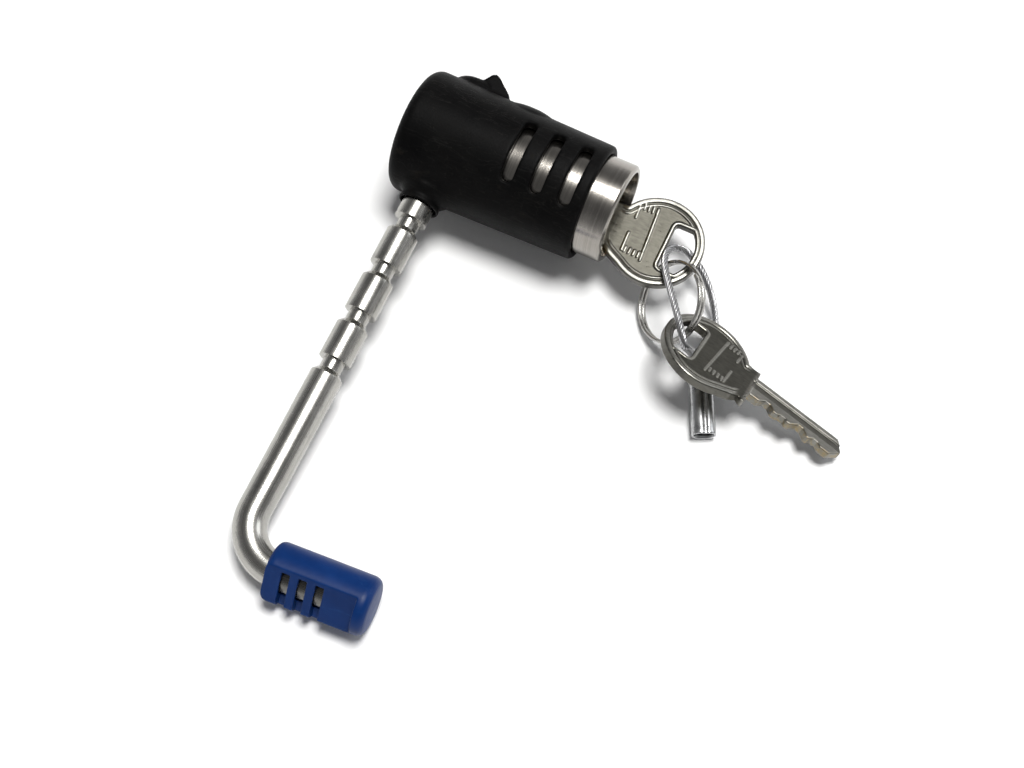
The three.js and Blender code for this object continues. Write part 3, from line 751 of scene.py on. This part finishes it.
def build_pin():
    profile = eased(pin_profile(), PIN.edge)
    spread = [profile[0]]
    for before, here in zip(profile, profile[1:]):
        pieces = max(1, math.ceil((here[0] - before[0]) / PIN.ring_gap))
        for k in range(1, pieces + 1):
            t = k / pieces
            spread.append([a + (b - a) * t for a, b in zip(before, here)])
    rings, flow = [], []
    for s, radius in spread:
        point, along = bar_place(s)
        across = Vector((-along.y, along.x, 0))
        ring = []
        for k in range(PIN.sides):
            angle = 2 * math.pi * k / PIN.sides
            c, z = math.cos(angle), math.sin(angle)
            ring.append(point + radius * (c * across + z * Vector((0, 0, 1))))
            flow.append((MM * radius * c, MM * radius * z, MM * s))
        rings.append(ring)
    made = loft(rings)
    set_flow(made, flow)
    place(made, "steel_pin", HEAD, "pin", "pin_steel", ["locking_pin"], sharp=32)


# ---------------------------------------------------------------- the end cap
CAP = Sizes(start=7.2, bore=3.45, bore_end=24.7, flat_turn=math.radians(46), flat_height=3.9,
            flat_end=24.6, first_slot=11.1, slot_pitch=3.25, slots=3, slot_half=0.8,
            slot_floor=1.6, slot_side=3.05, outside=9, voxel=0.13, soften=5)


def build_end_cap():
    """A moulded cap with one flat, and three slots that open on its side and show the pin."""
    profile = [(CAP.start, CAP.bore), (CAP.start, 4.35), (7.27, 4.8), (7.55, 5.2), (7.9, 5.44),
               (8.4, CAP_RADIUS), (25.4, CAP_RADIUS), (26.05, 5.4), (26.5, 5.1), (26.85, 4.65),
               (27.0, 4.05), (27.1, 2.5), (27.15, 0), (CAP.bore_end, 0), (CAP.bore_end, CAP.bore),
               (CAP.start, CAP.bore)]
    body = turned(profile, 128)
    turn = Matrix.Rotation(CAP.flat_turn, 4, "X")
    flat = prism(rectangle(CAP.start - 1, -CAP.outside, CAP.flat_end, CAP.outside), CAP.flat_height,
                 CAP.outside)
    boolean(body, moved(flat, turn), "DIFFERENCE")
    for i in range(CAP.slots):
        x = CAP.first_slot + CAP.slot_pitch * i
        outline = rectangle(x - CAP.slot_half, 1 - CAP.outside, x + CAP.slot_half, CAP.slot_side)
        boolean(body, moved(prism(outline, CAP.slot_floor, CAP.outside - 1), turn), "DIFFERENCE")
    moulded(body, CAP.voxel, CAP.soften)
    along_leg = Matrix.Rotation(math.atan2(LEG.y, LEG.x), 4, "Z")
    space = HEAD @ Matrix.Translation(LEG_START - LEG * BEND_RADIUS) @ along_leg
    place(body, "end_cap_moulding", space, "pin", "blue_plastic", ["pin_end_cap"])


# ---------------------------------------------------------------- keys
# A key's own space has its origin in the middle of the round bow, and its blade runs along -X.
KEY = Sizes(bow=9.1, half=1.0, field_half=0.79, eye=7.3, eye_side=4.8, blade_half=0.85,
            back=-2.8, top=2.5, shoulder=4.6, blade_from=-10.1, voxel=0.105, soften=2)
CUT_PLACES = (-14.5, -18.2, -21.9, -25.6)
CUT_DEPTHS = (1.1, 0.5, 1.4, 0.8)
LOCK_KEY_PLACE = (43.8, -0.9, -3.4)
SPARE_KEY = Sizes(place=(61.2, -17.8, 8.5), along=Vector((0.9656, -0.1728, -0.1945)).normalized(),
                  roll=math.radians(30))


def bow_outline():
    start = math.asin(KEY.shoulder / KEY.bow) - math.pi
    knob = arc((-10.0, 4.85), 0.72, math.radians(75), math.radians(262), 10)
    return [*arc((0, 0), KEY.bow, start, math.radians(124), 90), (-7.6, 6.3), (-8.7, 5.62),
            (-9.25, 5.1), *knob, (-10.3, 3.7), (-10.6, 3.3), (-10.6, -4.0), (-10.4, -4.4),
            (-10.0, -KEY.shoulder)]


def eye_outline():
    """The bow's hole: round towards the rim, straight across with eased corners towards the blade."""
    side, straight = KEY.eye_side, 2.0
    half = math.asin(side / KEY.eye)
    corner = [(straight + 0.6, side), (straight + 0.15, side - 0.25), (straight, side - 0.7)]
    return arc((0, 0), KEY.eye, -half, half, 28) + corner + [(x, -y) for x, y in reversed(corner)]


def blade_outline():
    points = [(KEY.blade_from, KEY.back), (KEY.blade_from, KEY.top)]
    for x, depth in zip(CUT_PLACES, CUT_DEPTHS):
        points += [(x + 0.5 + depth, KEY.top), (x + 0.5, KEY.top - depth),
                   (x - 0.5, KEY.top - depth), (x - 0.5 - depth, KEY.top)]
    return points + [(-28.9, KEY.top), (-30.4, 0.75), (-30.8, 0.3), (-30.8, -0.6), (-30.4, -1.3),
                     (-29.2, KEY.back)]


def distance_to(points, outline, closed=True):
    """Distance in XY from each point to the nearest side of an outline."""
    ends = outline[1:] + outline[:1] if closed else outline[1:]
    nearest = np.full(len(points), 1e9)
    for a, b in zip(outline, ends):
        a, b = np.array(a, float), np.array(b, float)
        run = b - a
        t = np.clip((points - a) @ run / max(run @ run, 1e-12), 0, 1)
        gap = points - a - t[:, None] * run
        nearest = np.minimum(nearest, np.hypot(gap[:, 0], gap[:, 1]))
    return nearest


def rise(x, low, high):
    """0 below low, 1 above high, and a smooth step between."""
    t = np.clip((x - low) / (high - low), 0, 1)
    return t * t * (3 - 2 * t)


def fall(x, low, high):
    return 1 - rise(x, low, high)


def key_lines():
    """The plain raised lines and short ticks on a bow, as pairs of ends."""
    lines = [((-2.28, -6.0), (-1.4, 5.0)), ((-5.95, -6.4), (-5.65, -2.8)), ((-5.65, 0.6), (-5.45, 4.4))]
    for number in range(4):
        share = number / 3
        lines.append(((-5.0 + 2.6 * share, -6.2), (-4.85 + 2.55 * share, -5.05)))
        lines.append(((-4.9 + 2.75 * share, 4.5), (-4.85 + 2.7 * share, 3.55)))
    return lines


def bow_height(points):
    """Half thickness over the bow: a struck rim, a ridge inside it, the eye's rim and raised lines."""
    edge = distance_to(points, bow_outline())
    eye = distance_to(points, eye_outline())
    rim = fall(edge, 0.85, 1.15)
    ridge = fall(np.abs(edge - 1.62), 0.1, 0.3)
    eye_rim = fall(eye, 0.55, 0.85)
    raised = np.maximum(rim, np.maximum(0.62 * ridge, 0.8 * eye_rim)) * fall(-points[:, 0], 7.6, 9.0)
    width = 0.46
    for ends in key_lines():
        stroke = fall(distance_to(points, list(ends), False), width * 0.25, width * 0.75)
        raised = np.maximum(raised, 0.7 * stroke)
    height = KEY.field_half + (KEY.half - KEY.field_half) * raised
    return height - 0.16 * fall(np.minimum(edge, eye), 0.0, 0.3)


def key_relief(points):
    """Half thickness over the key, how raised it looks, and where its cuts are."""
    along, side = -points[:, 0], points[:, 1]
    on_blade = rise(along, 9.6, 10.7)
    groove = rise(side, -1.75, -1.5) * fall(side, 0.15, 0.4) * rise(along, 8.3, 11.0)
    tip = rise(along, 28.2, 30.8)
    edge = distance_to(points, blade_outline())
    blade_height = KEY.blade_half - (0.36 * groove + 0.12 * tip + 0.1 * fall(edge, 0.0, 0.25))
    height = bow_height(points) * (1 - on_blade) + blade_height * on_blade
    relief = np.clip((height - KEY.field_half) / (KEY.half - KEY.field_half), 0, 1) * (1 - on_blade)
    relief += on_blade * (0.7 - 0.5 * groove)
    bite = on_blade * fall(edge, 0.05, 0.38) * rise(side, 0.2, 0.8)
    return height, relief, bite


def key_mesh():
    """A flat key with eased edges, pressed to its relief by scaling each point's height."""
    key = prism(bow_outline(), -KEY.half, KEY.half)
    boolean(key, prism(eye_outline(), -3, 3), "DIFFERENCE")
    boolean(key, prism(blade_outline(), -KEY.blade_half, KEY.blade_half), "UNION")
    moulded(key, KEY.voxel, KEY.soften)
    mesh = key.data
    points = np.empty(len(mesh.vertices) * 3)
    mesh.vertices.foreach_get("co", points)
    points = points.reshape(-1, 3)
    flat_half = np.where(points[:, 0] < -10.35, KEY.blade_half, KEY.half)
    height, relief, bite = key_relief(points[:, :2])
    points[:, 2] *= np.clip(height / flat_half, 0, 1)
    mesh.vertices.foreach_set("co", points.ravel())
    for label, values in (("relief", relief), ("bite", bite)):
        attribute = mesh.attributes.new(label, "FLOAT", "POINT")
        attribute.data.foreach_set("value", values.astype(np.float32))
    mesh.update()
    return key


def spare_key_space():
    along = SPARE_KEY.along
    level = Vector((-along.y, along.x, 0)).normalized()
    lift = along.cross(level)
    across = (level * math.cos(SPARE_KEY.roll) - lift * math.sin(SPARE_KEY.roll)).normalized()
    basis = Matrix((-along, -across, along.cross(across))).transposed().to_4x4()
    return LOOSE @ Matrix.Translation(SPARE_KEY.place) @ basis


def build_keys():
    first = key_mesh()
    second = link(bpy.data.objects.new("spare", first.data.copy()))
    lock_space = HEAD @ Matrix.Translation(LOCK_KEY_PLACE) @ Matrix.Rotation(math.pi, 4, "X")
    place(first, "lock_key_struck", lock_space, "inserted_key", "key_nickel", ["lock_key"])
    place(second, "spare_key_struck", spare_key_space(), "loose_key", "key_nickel", ["spare_key"])


# ---------------------------------------------------------------- the split ring
RING = Sizes(centre=Vector((51.1, -10, 7.05)), axis=Vector((-0.605, -0.429, 0.671)).normalized(),
             radius=7.74, pitch=0.95, turns=1.94, start=2.2, half_radial=0.33, half_axial=0.42,
             squareness=0.62, end_taper=0.8, steps=300, sides=20)


def build_ring():
    """Two turns of flattened wire, side by side."""
    first = Vector((-RING.axis.y, RING.axis.x, 0)).normalized()
    second = RING.axis.cross(first)
    rings = []
    for i in range(RING.steps + 1):
        t = i / RING.steps
        angle = 2 * math.pi * RING.turns * t + RING.start
        shift = RING.pitch * (t * RING.turns - RING.turns / 2)
        out = math.cos(angle) * first + math.sin(angle) * second
        taper = 1.0 if 0 < i < RING.steps else RING.end_taper
        ring = []
        for k in range(RING.sides):
            a = 2 * math.pi * (k + 0.5) / RING.sides
            c, s = math.cos(a), math.sin(a)
            radial = RING.half_radial * taper * math.copysign(abs(c) ** RING.squareness, c)
            axial = RING.half_axial * taper * math.copysign(abs(s) ** RING.squareness, s)
            ring.append(RING.centre + (RING.radius + radial) * out + (shift + axial) * RING.axis)
        rings.append(ring)
    place(loft(rings), "split_ring_wire", LOOSE, "key_ring", "steel", ["split_ring"], material="spring",
          sharp=50)


build_sleeve()
build_barrel()
build_pin()
build_end_cap()
build_keys()
build_ring()

# ---------------------------------------------------------------- the CAD nodes that stay
NODE_MATERIALS = {
    "near_seal": "seal", "far_seal": "seal", "cylinder_shell": "brass", "cylinder_plug": "brass",
    "plug_clip": "steel", "drive_pin": "steel", "latch_bolt": "steel", "cylinder_retaining_pin": "steel",
}
for number in range(1, 5):
    NODE_MATERIALS[f"driver_pin_{number}"] = "brass"
    NODE_MATERIALS[f"key_pin_{number}"] = "brass"
    NODE_MATERIALS[f"driver_spring_{number}"] = "spring"

for node_name, material_name in NODE_MATERIALS.items():
    node = bpy.data.objects[node_name]
    if not node.material_slots:
        node.data.materials.append(MATERIALS[material_name])
    for material_slot in node.material_slots:
        material_slot.material = MATERIALS[material_name]

# ---------------------------------------------------------------- floor, light and background
FLOOR = Sizes(size=16.0, squares=24)
WINDOW = Sizes(direction=(0.10, 0.17, 0.98), strength=3.4, angle=math.radians(22),
               colour=(1.0, 0.995, 0.98))
FILL = Sizes(target=Vector((0.01, 0, 0)), direction=(0.75, 0.75, 0.55), distance=1.1, size=0.5,
             power=2.2, colour=(0.95, 0.975, 1.0))
ROOM_BY_HEIGHT = [(0.0, (0.95, 0.95, 0.95)), (0.07, (0.72, 0.72, 0.73)), (0.3, (0.33, 0.33, 0.335)),
                  (0.7, (0.13, 0.13, 0.132))]


def build_floor():
    """A pale sheet, wide enough to reach the horizon."""
    count = FLOOR.squares
    verts, faces = [], []
    for j in range(count + 1):
        for i in range(count + 1):
            verts.append((FLOOR.size * (i / count - 0.5), FLOOR.size * (j / count - 0.5), 0))
    for j in range(count):
        for i in range(count):
            a = j * (count + 1) + i
            faces.append([a, a + 1, a + count + 2, a + count + 1])
    floor = mesh_object(verts, faces, "floor_sheet")
    floor.data.materials.append(paper_material())


def facing(direction):
    """The turn that points a light back along a direction."""
    return Vector(direction).to_track_quat("Z", "Y").to_euler()


def build_window_light():
    data = bpy.data.lights.new("window_light", "SUN")
    data.energy = WINDOW.strength
    data.angle = WINDOW.angle
    data.color = WINDOW.colour
    made = link(bpy.data.objects.new("window_light", data))
    made.rotation_euler = facing(WINDOW.direction)


def build_side_fill():
    data = bpy.data.lights.new("side_fill", "AREA")
    data.shape = "SQUARE"
    data.size = FILL.size
    data.energy = FILL.power
    data.color = FILL.colour
    made = link(bpy.data.objects.new("side_fill", data))
    made.location = FILL.target + Vector(FILL.direction).normalized() * FILL.distance
    made.rotation_euler = facing(FILL.direction)


def build_world():
    """A soft room that is bright at the horizon and dark overhead."""
    world = bpy.data.worlds.new("soft_room")
    world.use_nodes = True
    tree = world.node_tree
    tree.nodes.clear()
    around = add(tree, "ShaderNodeTexCoord").outputs["Generated"]
    height = add(tree, "ShaderNodeSeparateXYZ", Vector=around).outputs["Z"]
    back = add(tree, "ShaderNodeBackground", Color=ramp(tree, height, ROOM_BY_HEIGHT), Strength=1.0)
    output = add(tree, "ShaderNodeOutputWorld")
    tree.links.new(back.outputs["Background"], output.inputs["Surface"])
    bpy.context.scene.world = world


build_floor()
build_window_light()
build_side_fill()
build_world()
bpy.context.scene.view_settings.view_transform = "Standard"

# ---------------------------------------------------------------- refresh the scene
bpy.context.view_layer.update()
